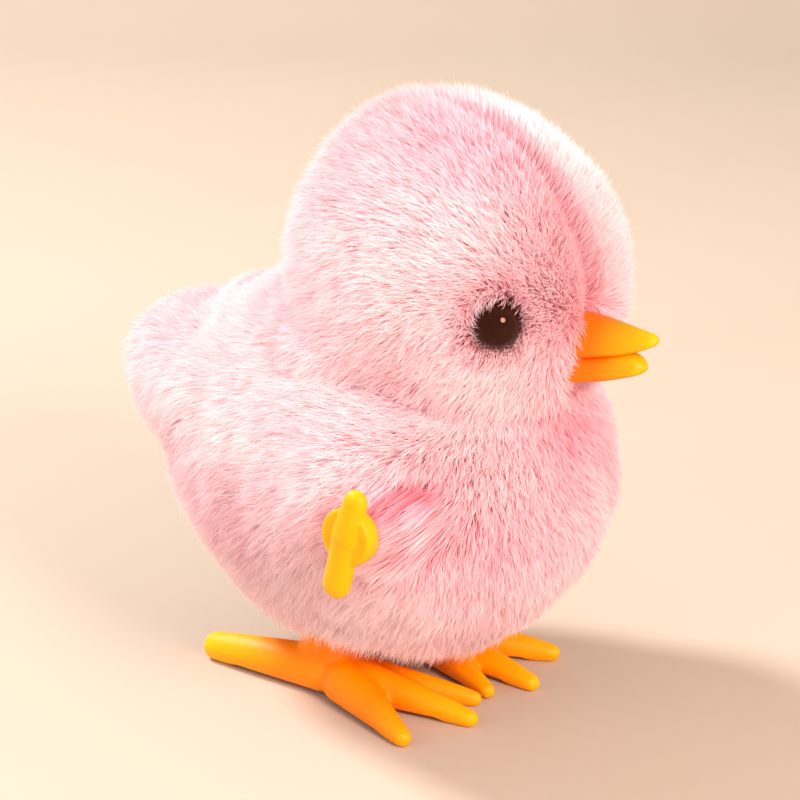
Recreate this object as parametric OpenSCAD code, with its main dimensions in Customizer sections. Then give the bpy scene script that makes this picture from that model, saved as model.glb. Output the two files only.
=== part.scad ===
// Wind-up hopping chick: a plush chick over a clockwork hopping movement.
// The chick faces -Y and stands on the plane z = 0. Its right flank, with
// the winding key, is at -X. The origin is on the ground, in the plane of
// symmetry, between the two feet. Millimetres.

/* [Plush skin] */
// Width of the body over the pile
body_w = 50.4; // [50:0.2:51]
// Swelling of the flanks, where the key comes out
flank_swell = 5.5; // [5:0.1:5.7]
// Width of the head over the pile
head_w = 42.8; // [42.4:0.2:43.6]
// Height of the crown above the ground, over the pile
crown_h = 81.9; // [81.5:0.1:82.5]
// Length of the tail behind its own centre
tail_l = 25; // [24:0.2:26]
// Loose ends of the pile outside the dense part
fuzz = 0.8; // [0.6:0.1:1]
// Thickness of backing cloth and dense pile
skin_t = 4.2; // [4:0.1:4.3]
// Depth of the seam valley over the crown
seam_depth = 1.6; // [0:0.1:2]

/* [Face] */
// Diameter of an eye bead
eye_d = 6.5; // [6:0.1:6.8]
// Distance of each eye centre from the plane of symmetry
eye_x = 12.35; // [12.2:0.05:12.6]
// Length of the upper beak in front of its flange
beak_l = 11.5; // [10:0.1:12.5]

/* [Winding key] */
// Length of the knob from ear to ear
knob_l = 15; // [13:0.5:16]
// Diameter of the knob's middle disc
knob_d = 7; // [6:0.1:8]
// Lean of the knob towards the beak, in degrees
knob_lean = 15; // [0:1:45]
// Distance of the knob's outer face from the plane of symmetry
knob_x = 32; // [31.5:0.1:34]

/* [Movement] */
// Gear module
gear_m = 0.5; // [0.49:0.01:0.5]
// Teeth of the great wheel
great_n = 30; // [28:2:30]
// Teeth of the second wheel
second_n = 28; // [26:2:28]
// Teeth of the third wheel
third_n = 24; // [22:2:24]
// Throw of the crank pin
crank_e = 1.6; // [1.4:0.1:1.6]
// Turns of the mainspring
spring_turns = 6; // [4:1:7]

/* [Feet] */
// Distance of each shank from the plane of symmetry
shank_x = 8.5; // [8.4:0.1:8.7]
// Reach of the hind toe behind the origin
hind_y = 29; // [28:0.2:30]
// Diameter of the foot axle
axle_d = 2.5; // [2.3:0.1:2.6]

/* [Hidden] */
$fn = 48;

// ---- shape of the skin: a blend of six ellipsoids from crown to tail,
// measured along rays from one inner point
core = [0, 2, 46];
head_c = [0, -7, 57.9];
head_r = [head_w/2, 23, 22.4];
crown_c = [0, -3.7, 60.7];
crown_r = [19.1, 20.3, crown_h - 60.7];
neck_c = [0, 0.5, 50.5];
neck_r = [21.3, 17.5, 13];
body_c = [0, 4.7, 32.8];
body_r = [body_w/2, 33.4, 27.6];
// towards the middle of the swelling on each flank
flank_d = [0.833, -0.320, -0.451];
rump_c = [0, 19, 39];
rump_r = [20.5, 24, 13.6];
tail_c = [0, 23.9, 38.8];
tail_r = [15.6, tail_l, 12.9];
tail_tilt = 4.8;
inset_out = fuzz;            // outer face of the dense pile
inset_in = fuzz + skin_t;    // back of the cloth
inset_fill = inset_in + 0.3; // face of the stuffing

function turned(v, t) = [v[0], cos(t)*v[1] + sin(t)*v[2],
    -sin(t)*v[1] + cos(t)*v[2]];
function over(v, r, i) = [v[0]/(r[0]-i), v[1]/(r[1]-i), v[2]/(r[2]-i)];
// distance from the core to the far side of one ellipsoid, inset by i
function ray(d, c, r, t, i) =
    let (o = over(turned(core - c, t), r, i), u = over(turned(d, t), r, i),
        A = u*u, B = u*o, C = o*o - 1, q = B*B - A*C)
    q > 0 ? (-B + sqrt(q))/A : 0.001;
function ramp(a, b, x) = let (t = min(1, max(0, (x - a)/(b - a)))) t*t*(3 - 2*t);
// valley along the seam from the back of the crown to the beak
function valley(phi, theta) = seam_depth*exp(-pow(phi/6, 2))
    *ramp(-4, 12, theta)*(1 - ramp(100, 135, theta));
function swell(d) = flank_swell*exp(-pow(acos(min(1, abs(d[0])*flank_d[0]
    + d[1]*flank_d[1] + d[2]*flank_d[2]))/22, 2));
function reach(d, phi, theta, i) = swell(d) +
    pow(pow(ray(d, head_c, head_r, 0, i), 14)
        + pow(ray(d, crown_c, crown_r, 0, i), 14)
        + pow(ray(d, neck_c, neck_r, 0, i), 14)
        + pow(ray(d, body_c, body_r, 0, i), 14)
        + pow(ray(d, rump_c, rump_r, 0, i), 14)
        + pow(ray(d, tail_c, tail_r, tail_tilt, i), 14), 1/14)
    - valley(phi, theta);
// phi is the angle off the plane of symmetry, theta goes from the beak (0)
// over the crown (90) to the tail (180)
function skin_point(phi, theta, i) =
    let (d = [-sin(phi), -cos(phi)*cos(theta), cos(phi)*sin(theta)])
    core + d*reach(d, phi, theta, i);
ring_n = 44;
phis = [0, 4, 9, 15, 22, 30, 40, 50, 61, 72, 82];
function skin_rings(list, i) = [for (p = list) for (k = [0:ring_n-1])
    skin_point(p, k*360/ring_n, i)];
function band(a, b) = [for (k = [0:ring_n-1]) let (l = (k + 1)%ring_n)
    each [[a + k, a + l, b + l], [a + k, b + l, b + k]]];
function flipped(f) = [for (t = f) [t[2], t[1], t[0]]];

// ---- movement layout, in the plane of the wheels (y, z)
arbor_c = [-12.5, 33.5];
pinion_n = 10;
mesh_gap = 0.03;
function step_to(c, n1, n2, a) = c + ((n1 + n2)*gear_m/2 + mesh_gap)*[cos(a), sin(a)];
dir_1 = -20;
dir_2 = -55;
dir_3 = 30;
second_c = step_to(arbor_c, great_n, pinion_n, dir_1);
third_c = step_to(second_c, second_n, pinion_n, dir_2);
crank_c = step_to(third_c, third_n, pinion_n, dir_3);
axle_c = [8.5, 15];
// angle of a tooth of the driven gear that meshes with one at p of the driver
function mate(p, a, n1, n2) = a + 180 - (p - a)*n1/n2 + 180/n2;
great_p = 0;
pinion2_p = mate(great_p, dir_1, great_n, pinion_n);
second_p = pinion2_p;
pinion3_p = mate(second_p, dir_2, second_n, pinion_n);
third_p = pinion3_p;
crank_p = mate(third_p, dir_3, third_n, pinion_n);
// involute tooth form, 25 degree pressure angle, short teeth
pressure = 25;
thin = 0.035;
function inv(a) = tan(a)*180/PI - a;
function polar(r, a) = [r*cos(a), r*sin(a)];
function half_tooth(n, r) =
    let (rp = n*gear_m/2, rb = rp*cos(pressure))
    90/n - thin/rp*180/PI + inv(pressure) - inv(acos(min(1, rb/max(r, rb))));
function gear_outline(n) =
    let (rp = n*gear_m/2, rb = rp*cos(pressure), ra = rp + 0.8*gear_m,
        rr = rp - 1.05*gear_m, r0 = max(rb, rr))
    [for (k = [0:n-1]) let (c = 360*k/n)
        each concat(
            rr < rb ? [polar(rr, c - half_tooth(n, rb))] : [],
            [for (j = [0:4]) let (r = r0 + (ra - r0)*j/4) polar(r, c - half_tooth(n, r))],
            [for (j = [4:-1:0]) let (r = r0 + (ra - r0)*j/4) polar(r, c + half_tooth(n, r))],
            rr < rb ? [polar(rr, c + half_tooth(n, rb))] : [])];

case_w = 6.5;     // half width of the movement case
case_wall = 1.1;
arbor_r = 1;
pin_r = 0.6;
axle_r = axle_d/2;
run = 0.04;       // running clearance, radial
base_z = 9;
base_t = 1.6;
opening = [13.5, 15];
opening_y = 6;
swing = 12;       // travel of the feet, degrees
screw_at = [[-1.5, 40.5], [13, 32.5], [-9, 22.5]];
base_screw_at = [[-3.2, -0.5], [3.2, 13.5]];
rocker_l = norm(crank_c - axle_c);
rocker_a = atan2(crank_c[1] - axle_c[1], crank_c[0] - axle_c[0]);
window_far = axle_c + rocker_l*[cos(rocker_a - swing), sin(rocker_a - swing)];
window_r = crank_e + pin_r + 0.3;
eye_c = [-eye_x, -21.35, 57.6];
eye_turn = -44.5;
beak_y = -25.1;
beak_z = 52.6;

// a flat outline in (y, z) thickened along X from x0
module slab(x0, t) translate([x0, 0, 0]) rotate([90, 0, 90]) linear_extrude(t) children();
// a rod along X, from x0 to x1, at c = [y, z]
module rod(x0, x1, c, r) translate([x0, c[0], c[1]]) rotate([0, 90, 0])
    cylinder(h = x1 - x0, r = r);
// a bar with round ends, from a to b
module bar2d(a, b, r) {
    t = atan2(b[1] - a[1], b[0] - a[0]);
    polygon(concat([for (k = [0:16]) a + polar(r, t + 90 + k*11.25)],
        [for (k = [0:16]) b + polar(r, t - 90 + k*11.25)]));
}
module oval2d(rx, ry) polygon([for (k = [0:47]) [rx*cos(k*7.5), ry*sin(k*7.5)]]);
module toothed(n, p, c, x0, t, bore) slab(x0, t) translate(c) rotate(p)
    difference() { polygon(gear_outline(n)); circle(bore); }
module right_eye_frame() translate(eye_c) rotate([90, 0, eye_turn]) children();
module mirrored() mirror([1, 0, 0]) children();

// ---- plush
module opening_cut(top, grow) translate([0, opening_y, -1])
    linear_extrude(top + 1) oval2d(opening[0] + grow, opening[1] + grow);

module half_skin() {
    n = len(phis);
    pts = concat(skin_rings(phis, inset_out), [skin_point(90, 0, inset_out)],
        skin_rings(phis, inset_in), [skin_point(90, 0, inset_in)]);
    off = n*ring_n + 1;
    shell_out = concat(
        [for (r = [0:n-2]) each band(r*ring_n, (r + 1)*ring_n)],
        [for (k = [0:ring_n-1]) [(n-1)*ring_n + k, (n-1)*ring_n + (k + 1)%ring_n, n*ring_n]]);
    shell_in = [for (t = flipped(shell_out)) [t[0] + off, t[1] + off, t[2] + off]];
    rim = band(off, 0);
    polyhedron(pts, flipped(concat(shell_out, shell_in, rim)));
}

module skin_with_pockets() difference() {
    half_skin();
    opening_cut(16, 0);
    right_eye_frame() {
        translate([0, 0, -1.25]) cylinder(h = 12, r = eye_d/2 + 0.1);
        translate([0, 0, -8]) cylinder(h = 12, r = 1);
    }
    translate([0, beak_y, beak_z]) rotate([90, 0, 0]) cylinder(h = 20, r = 5);
    translate([0, beak_y + 9, beak_z]) rotate([90, 0, 0]) cylinder(h = 12, r = 1.85);
}

module plush_right() color([1, 0.74, 0.8]) difference() {
    skin_with_pockets();
    rod(-40, -10, arbor_c, 3.4);
}

module plush_left() color([1, 0.74, 0.8]) mirrored() skin_with_pockets();

module stuffing() {
    n = len(phis);
    // rings from the right pole across to the left pole
    all_phi = concat([for (k = [n-1:-1:0]) phis[k]], [for (k = [1:n-1]) -phis[k]]);
    m = len(all_phi);
    pts = concat(skin_rings(all_phi, inset_fill),
        [skin_point(90, 0, inset_fill), skin_point(-90, 0, inset_fill)]);
    body = concat(
        [for (r = [0:m-2]) each band((r + 1)*ring_n, r*ring_n)],
        [for (k = [0:ring_n-1]) [k, (k + 1)%ring_n, m*ring_n]],
        [for (k = [0:ring_n-1]) [(m-1)*ring_n + (k + 1)%ring_n, (m-1)*ring_n + k, m*ring_n + 1]]);
    color([0.97, 0.97, 0.95]) difference() {
        polyhedron(pts, flipped(body));
        opening_cut(21.5, 0.4);
        // room for the movement
        translate([-case_w - 1.4, -40, 0]) cube([2*case_w + 2.8, 59.2, 43.8]);
        rod(-40, 0, arbor_c, 3);
        right_eye_frame() translate([0, 0, -7.2]) cylinder(h = 12, r = 3.5);
        mirrored() right_eye_frame() translate([0, 0, -7.2]) cylinder(h = 12, r = 3.5);
        translate([0, -18, beak_z]) rotate([90, 0, 0]) cylinder(h = 20, r = 4);
    }
}

// ---- face
module eye_bead() color([0.1, 0.045, 0.03]) right_eye_frame() {
    difference() {
        sphere(r = eye_d/2);
        translate([-5, -5, -11.2]) cube([10, 10, 10]);
    }
    translate([0, 0, -6.4]) cylinder(h = 5.6, r = 0.95);
}
module eye_right() eye_bead();
module eye_left() mirrored() eye_bead();

module eye_washer() right_eye_frame() difference() {
    translate([0, 0, -4.4]) cylinder(h = 1, r = 3);
    translate([0, 0, -6]) cylinder(h = 4, r = 0.95);
}
module eye_washers() color("white") { eye_washer(); mirrored() eye_washer(); }

module beak() color([1, 0.62, 0.05]) {
    // upper half
    hull() {
        translate([0, beak_y, 54]) rotate([90, 0, 0]) scale([1, 0.72, 1]) cylinder(h = 1.6, r = 4.3, $fn = 32);
        translate([0, beak_y - beak_l + 0.85, 55.2]) sphere(r = 0.85, $fn = 24);
    }
    // lower half
    hull() {
        translate([0, beak_y, 50.8]) rotate([90, 0, 0]) scale([1, 0.75, 1]) cylinder(h = 1, r = 4, $fn = 32);
        translate([0, beak_y - beak_l + 2.5, 51.8]) sphere(r = 1, $fn = 24);
    }
    translate([0, -18.5, beak_z]) rotate([90, 0, 0]) cylinder(h = -18.5 - beak_y + 1, r = 1.8);
}

module beak_washer() color("white") translate([0, -18.7, beak_z]) rotate([90, 0, 0])
    difference() { cylinder(h = 1, r = 3.2); translate([0, 0, -1]) cylinder(h = 3, r = 1.8); }

// ---- base
module base_plate() color([1, 0.62, 0.1]) difference() {
    translate([0, opening_y, base_z]) linear_extrude(base_t) difference() {
        oval2d(opening[0] - 0.3, opening[1] - 0.3);
        // slots for the shanks
        for (s = [-1, 1]) translate([s*(shank_x + 0.2), 1.8]) bar2d([0, -2.8], [0, 3.4], 2.6);
    }
    for (p = base_screw_at) translate([p[0], p[1], 0]) cylinder(h = 20, r = 1.1);
}

module base_screws() color("silver") for (p = base_screw_at) translate([p[0], p[1], 0]) {
    translate([0, 0, base_z - 1.1]) cylinder(h = 1.1, r = 1.7);
    translate([0, 0, base_z - 0.2]) cylinder(h = 6, r = 0.85);
}

// ---- movement case
module case_outline(shrink) hull() {
    translate(arbor_c) circle(9.4 - shrink, $fn = 32);
    translate([-1, base_z + base_t + 4.4]) circle(4.4 - shrink, $fn = 32);
    translate([13.6, base_z + base_t + 4.4]) circle(4.4 - shrink, $fn = 32);
    translate([13.9, 31]) circle(4.6 - shrink, $fn = 32);
    translate([4, 38]) circle(4.2 - shrink, $fn = 32);
}

module case_body() difference() {
    union() {
        difference() {
            slab(0, case_w) case_outline(0);
            slab(-1, case_w - case_wall + 1) case_outline(case_wall);
        }
        for (p = screw_at) rod(0, case_w, p, 1.8);
    }
    rod(-1, case_w + 1, arbor_c, arbor_r + run);
    rod(-1, case_w + 1, axle_c, axle_r + run);
    for (c = [second_c, third_c, crank_c]) rod(-1, case_w + 1, c, pin_r);
}

module base_boss(k) translate([base_screw_at[k][0], base_screw_at[k][1], base_z + base_t]) children();

module case_left() color([0.92, 0.93, 0.95]) difference() {
    union() { case_body(); base_boss(1) cylinder(h = 4.8, r = 1.8); }
    for (p = screw_at) rod(-1, case_w + 1, p, 0.95);
    base_boss(1) translate([0, 0, -1]) cylinder(h = 6.2, r = 0.85);
}

module case_right() color([0.92, 0.93, 0.95]) difference() {
    union() {
        mirrored() case_body();
        base_boss(0) cylinder(h = 4.8, r = 1.8);
        // post that holds the outer end of the mainspring
        rod(-case_w, -1, arbor_c + 7.6*[cos(100), sin(100)], 0.45);
    }
    for (p = screw_at) rod(-5, 1, p, 0.8);
    base_boss(0) translate([0, 0, -1]) cylinder(h = 6.2, r = 0.85);
}

module case_screws() color("silver") for (p = screw_at) {
    rod(-4.5, case_w + 0.2, p, 0.8);
    rod(case_w, case_w + 1.2, p, 1.6);
}

module train_pins() color("silver") for (c = [second_c, third_c, crank_c])
    rod(-case_w, case_w, c, pin_r);

// ---- winding group
module knob_outline() {
    bar2d([0, -knob_l/2 + 0.75], [0, 0.2], 1.85);
    bar2d([0, -0.2], [0, knob_l/2 - 2.65], 1.6);
}

module winding_key() color([1, 0.78, 0.02]) difference() {
    union() {
        slab(-knob_x, 2.8) translate(arbor_c) rotate(knob_lean) knob_outline();
        rod(-knob_x + 0.8, -knob_x + 3.1, arbor_c, knob_d/2);
        rod(-knob_x + 2.6, -7.7, arbor_c, 2.1);
    }
    rod(-13.2, -7, arbor_c, arbor_r);
}

module winding_arbor() color("silver") {
    rod(-13, case_w + 0.7, arbor_c, arbor_r);
    // collar that keeps the great wheel in place
    rod(1.5, 2, arbor_c, 1.9);
}

module mainspring() {
    steps = spring_turns*24;
    pitch = (6.5 - arbor_r - 0.35)/spring_turns;
    function coil(k, o) = polar(arbor_r + 0.1 + pitch*k/24 + o, k*15);
    color([0.45, 0.5, 0.58]) slab(-5.1, 4) translate(arbor_c)
        polygon(concat([for (k = [0:steps]) coil(k, 0)], [for (k = [steps:-1:0]) coil(k, 0.22)]));
}

module ratchet_wheel() color([0.8, 0.8, 0.82]) slab(-0.9, 0.8) translate(arbor_c) difference() {
    polygon([for (k = [0:11]) each [polar(3.3, k*30), polar(2.6, k*30 + 3)]]);
    circle(arbor_r);
}

module great_wheel() color([0.95, 0.94, 0.88]) {
    toothed(great_n, great_p, arbor_c, 0.2, 1.2, arbor_r + run);
    // stud that carries the click
    rod(-0.9, 0.3, arbor_c + polar(5.2, 60), 0.6);
}

module click() color("silver") slab(-0.9, 0.8) translate(arbor_c) difference() {
    union() {
        translate(polar(5.2, 60)) circle(1.2);
        bar2d(polar(5.2, 60) + polar(0.6, 195), polar(3.75, 22), 0.25);
    }
    translate(polar(5.2, 60)) circle(0.6);
}

module second_wheel() color([0.95, 0.94, 0.88]) {
    toothed(pinion_n, pinion2_p, second_c, 0, 2.2, pin_r + run);
    toothed(second_n, second_p, second_c, 2.1, 1.2, pin_r + run);
}

module third_wheel() color([0.95, 0.94, 0.88]) {
    toothed(pinion_n, pinion3_p, third_c, 2, 2.2, pin_r + run);
    slab(-0.7, 2.8) translate(third_c) difference() { circle(1.6); circle(pin_r + run); }
    toothed(third_n, third_p, third_c, -1.6, 1, pin_r + run);
}

module crank_wheel() color([0.2, 0.2, 0.22]) {
    toothed(pinion_n, crank_p, crank_c, -2.5, 2.3, pin_r + run);
    slab(-3.6, 1.2) translate(crank_c) difference() { circle(3.4); circle(pin_r + run); }
    rod(-5.1, -3.5, crank_c + [crank_e, 0], pin_r);
}

// ---- feet
module rocker() color([0.2, 0.2, 0.22]) difference() {
    union() {
        rod(-5.2, -2.6, axle_c, 2.6);
        slab(-5.2, 1.3) difference() {
            union() {
                bar2d(axle_c, crank_c - polar(window_r, rocker_a - swing/2), 1.5);
                bar2d(crank_c, window_far, window_r + 1.2);
            }
            bar2d(crank_c, window_far, window_r);
        }
    }
    rod(-6, -1, axle_c, axle_r);
}

module foot_axle() color("silver") rod(-10.4, 10.4, axle_c, axle_r);

module toe(a, ra, b, rb) hull() {
    translate(a) sphere(r = ra, $fn = 24);
    translate(b) sphere(r = rb, $fn = 24);
}

module foot_half() color([1, 0.58, 0.04]) difference() {
    union() {
        toe([-10.2, hind_y - 2, 1.75], 2, [-9.2, 8, 2.9], 3.4);
        toe([-17.1, -10.6, 0.9], 1.1, [-10.4, 4, 2.6], 3.3);
        toe([-7.1, -14.1, 0.9], 1.05, [-9, 4, 2.8], 3.2);
        toe([-1.35, -10.8, 0.75], 1, [-7.8, 4.2, 2.6], 3.1);
        // broad ankle, tapering up to the hub
        hull() {
            toe([-shank_x - 0.2, 5, 3.4], 2.6, [-shank_x - 0.2, 10.4, 3.2], 2.6);
            toe([-shank_x - 0.4, 7.4, 12.4], 2, [-shank_x - 0.4, 9.6, 12.4], 2);
        }
        rod(-shank_x - 1.9, -shank_x + 1.4, axle_c, 3.2);
    }
    // flat sole
    translate([-30, -30, -10]) cube([60, 70, 10]);
    rod(-20, -5, axle_c, axle_r);
}
module foot_right() foot_half();
module foot_left() mirrored() foot_half();

plush_right();
plush_left();
stuffing();
eye_right();
eye_left();
eye_washers();
beak();
beak_washer();
base_plate();
base_screws();
case_right();
case_left();
case_screws();
train_pins();
winding_key();
winding_arbor();
mainspring();
ratchet_wheel();
great_wheel();
click();
second_wheel();
third_wheel();
crank_wheel();
rocker();
foot_axle();
foot_right();
foot_left();
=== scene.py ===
"""Wind-up hopping chick: plush skin with real pile, bead eyes, moulded beak,
feet and winding key, and the movement inside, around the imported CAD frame."""
import math
import bpy
import bmesh
import numpy as np
from mathutils import Matrix, Vector, kdtree


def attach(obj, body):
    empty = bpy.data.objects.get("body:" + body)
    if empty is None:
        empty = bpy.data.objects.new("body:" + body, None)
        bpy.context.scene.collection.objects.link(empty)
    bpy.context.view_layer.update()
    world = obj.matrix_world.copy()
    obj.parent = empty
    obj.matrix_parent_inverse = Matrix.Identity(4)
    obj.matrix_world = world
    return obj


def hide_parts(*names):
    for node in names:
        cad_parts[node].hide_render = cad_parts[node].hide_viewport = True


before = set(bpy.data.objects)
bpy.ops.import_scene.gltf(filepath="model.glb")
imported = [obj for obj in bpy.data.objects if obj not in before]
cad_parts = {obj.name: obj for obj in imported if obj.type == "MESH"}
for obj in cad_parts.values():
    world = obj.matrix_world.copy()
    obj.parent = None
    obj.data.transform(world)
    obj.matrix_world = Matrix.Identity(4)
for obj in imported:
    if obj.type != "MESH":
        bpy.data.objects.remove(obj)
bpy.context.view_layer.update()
MM = 0.001
rng = np.random.default_rng(71)
scene = bpy.context.scene

# ---------------------------------------------------------------- skin shape
# The same blend of six ellipsoids as the CAD skin, in millimetres, measured
# along rays from one inner point. inset 0 is the tips of the pile.
CORE = np.array([0, 2, 46.0])
PARTS = (
    (np.array([0, -7, 57.9]), np.array([21.4, 23.0, 22.4]), 0.0),
    (np.array([0, -3.7, 60.7]), np.array([19.1, 20.3, 21.2]), 0.0),
    (np.array([0, 0.5, 50.5]), np.array([21.3, 17.5, 13.0]), 0.0),
    (np.array([0, 4.7, 32.8]), np.array([25.2, 33.4, 27.6]), 0.0),
    (np.array([0, 19, 39.0]), np.array([20.5, 24.0, 13.6]), 0.0),
    (np.array([0, 23.9, 38.8]), np.array([15.6, 25.0, 12.9]), math.radians(4.8)),
)
BLEND = 14         # the higher, the sharper the valleys between the ellipsoids
FLANK = np.array([0.833, -0.320, -0.451])   # towards the middle of the swelling on the left flank
FLANK_SWELL, FLANK_WIDTH = 5.5, 22           # mm and degrees
SEAM_DIP, SEAM_CREASE = (0.9, 5.5), (1.3, 1.7)      # depth in mm, half width in degrees
BACKING = 5.0      # inset of the cloth that carries the pile
BEAK = np.array([0, -29.0, 52.6])
EYE = np.array([-12.35, -21.35, 57.6])
EYE_R = 3.12
KEY_AXIS = np.array([-12.5, 33.5])
HEM_AT, HEM_R = np.array([0, 6.0]), np.array([13.5, 15.0])      # opening at the base


def smooth(a, b, x):
    t = np.clip((x - a) / (b - a), 0, 1)
    return t * t * (3 - 2 * t)


def unit(v):
    return v / np.maximum(np.linalg.norm(v, axis=-1, keepdims=True), 1e-9)


def tilted(v, a):
    c, s = math.cos(a), math.sin(a)
    return np.stack([v[..., 0], c * v[..., 1] + s * v[..., 2], -s * v[..., 1] + c * v[..., 2]], -1)


def reach(d, inset):
    """Distance from CORE to the skin along unit directions d."""
    total = 0
    for c, r, a in PARTS:
        o, u = tilted(CORE - c, a) / (r - inset), tilted(d, a) / (r - inset)
        A, B, C = (u * u).sum(-1), (u * o).sum(-1), (o * o).sum(-1) - 1
        q = B * B - A * C
        t = np.where(q > 0, (-B + np.sqrt(np.maximum(q, 0))) / A, 1e-3)
        total = total + np.maximum(t, 1e-3) ** BLEND
    R = total ** (1 / BLEND)
    phi = np.degrees(np.arcsin(np.clip(np.abs(d[..., 0]), 0, 1)))
    theta = np.degrees(np.arctan2(d[..., 2], -d[..., 1]))
    theta = np.where(theta < -90, theta + 360, theta)
    valley = sum(depth * np.exp(-(phi / width) ** 2) for depth, width in (SEAM_DIP, SEAM_CREASE))
    valley = valley * smooth(-2, 10, theta) * (1 - smooth(68, 94, theta))
    to_flank = np.abs(d[..., 0]) * FLANK[0] + d[..., 1] * FLANK[1] + d[..., 2] * FLANK[2]
    off = np.degrees(np.arccos(np.clip(to_flank, -1, 1)))
    return R - valley + FLANK_SWELL * np.exp(-(off / FLANK_WIDTH) ** 2)


def skin(d, inset):
    return CORE + d * reach(d, inset)[..., None]


def skin_normal(d, inset):
    e = 1e-3
    a = unit(np.cross(d, np.array([0.31, 0.17, 0.93])))
    b = np.cross(d, a)
    pa = skin(unit(d + e * a), inset) - skin(unit(d - e * a), inset)
    pb = skin(unit(d + e * b), inset) - skin(unit(d - e * b), inset)
    n = unit(np.cross(pa, pb))
    return n * np.sign((n * d).sum(-1, keepdims=True))


def lattice(p, seed):
    """Smooth noise, -1 to 1, at points p."""
    r = np.random.default_rng(seed)
    g = r.uniform(-1, 1, (16, 16, 16))
    i = np.floor(p).astype(int)
    f = p - i
    f = f * f * (3 - 2 * f)
    out = 0
    for dx in (0, 1):
        for dy in (0, 1):
            for dz in (0, 1):
                wx, wy, wz = (f[..., k] if on else 1 - f[..., k] for k, on in enumerate((dx, dy, dz)))
                corner = g[(i[..., 0] + dx) % 16, (i[..., 1] + dy) % 16, (i[..., 2] + dz) % 16]
                out = out + wx * wy * wz * corner
    return out


# ---------------------------------------------------------------- materials
def material(name, color, rough=0.5, **sockets):
    m = bpy.data.materials.new(name)
    m.use_nodes = True
    n = m.node_tree.nodes
    b = n["Principled BSDF"]
    b.inputs["Base Color"].default_value = (*color, 1)
    b.inputs["Roughness"].default_value = rough
    for k, v in sockets.items():
        b.inputs[k.replace("_", " ")].default_value = v
    return m, m.node_tree, b


def link(t, a, b):
    t.links.new(a, b)


def coords(t):
    return t.nodes.new("ShaderNodeTexCoord").outputs["Object"]


def noise(t, scale, detail=4, rough=0.55, vector=None):
    n = t.nodes.new("ShaderNodeTexNoise")
    n.inputs["Scale"].default_value = scale
    n.inputs["Detail"].default_value = detail
    n.inputs["Roughness"].default_value = rough
    link(t, vector or coords(t), n.inputs["Vector"])
    return n.outputs["Fac"]


def ramp(t, fac, stops):
    r = t.nodes.new("ShaderNodeValToRGB")
    e = r.color_ramp.elements
    while len(e) < len(stops):
        e.new(0.5)
    for k, (pos, col) in enumerate(stops):
        e[k].position = pos
        e[k].color = (*col, 1) if len(col) == 3 else col
    link(t, fac, r.inputs["Fac"])
    return r.outputs["Color"]


def rgb_mix(t, fac, a, b):
    m = t.nodes.new("ShaderNodeMix")
    m.data_type = "RGBA"
    fs = [s for s in m.inputs if s.name == "Factor" and s.type == "VALUE"][0]
    sa, sb = [[s for s in m.inputs if s.name == k and s.type == "RGBA"][0] for k in "AB"]
    for s, v in ((fs, fac), (sa, a), (sb, b)):
        if hasattr(v, "links"):
            link(t, v, s)
        elif isinstance(v, (tuple, list)):
            s.default_value = (*v, 1)
        else:
            s.default_value = v
    return [s for s in m.outputs if s.type == "RGBA"][0]


def bump(t, bsdf, height, strength, distance):
    b = t.nodes.new("ShaderNodeBump")
    b.inputs["Strength"].default_value = strength
    b.inputs["Distance"].default_value = distance
    link(t, height, b.inputs["Height"])
    link(t, b.outputs["Normal"], bsdf.inputs["Normal"])


def plastic(name, light, deep, rough=0.36, sss=0.25):
    """Satin moulded plastic: faint flow mottle, fine surface grain, soft light scatter."""
    m, t, b = material(name, light, rough)
    big = noise(t, 90, 3)
    link(t, ramp(t, big, [(0.3, deep), (0.7, light)]), b.inputs["Base Color"])
    grain = ramp(t, noise(t, 700, 4), [(0.3, (rough - 0.06,) * 3), (0.75, (rough + 0.08,) * 3)])
    link(t, grain, b.inputs["Roughness"])
    b.inputs["Subsurface Weight"].default_value = sss
    b.inputs["Subsurface Radius"].default_value = (1.0, 0.45, 0.12)
    b.inputs["Subsurface Scale"].default_value = 0.0016
    b.inputs["IOR"].default_value = 1.46
    b.inputs["Specular IOR Level"].default_value = 0.22
    bump(t, b, noise(t, 1500, 5), 0.12, 0.00012)
    return m


def metal(name, color, rough=0.3, grain=(60, 60, 2400)):
    """Drawn or stamped steel: fine lines, faint stain."""
    m, t, b = material(name, color, rough, Metallic=1.0)
    mp = t.nodes.new("ShaderNodeMapping")
    mp.inputs["Scale"].default_value = grain
    link(t, coords(t), mp.inputs["Vector"])
    lines = noise(t, 3, 5, 0.6, mp.outputs["Vector"])
    link(t, ramp(t, lines, [(0.3, (rough * 0.75,) * 3), (0.7, (rough * 1.35,) * 3)]), b.inputs["Roughness"])
    stain = ramp(t, noise(t, 260, 4), [(0.35, tuple(0.82 * c for c in color)), (0.65, color)])
    link(t, stain, b.inputs["Base Color"])
    bump(t, b, lines, 0.1, 0.00005)
    return m


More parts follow.
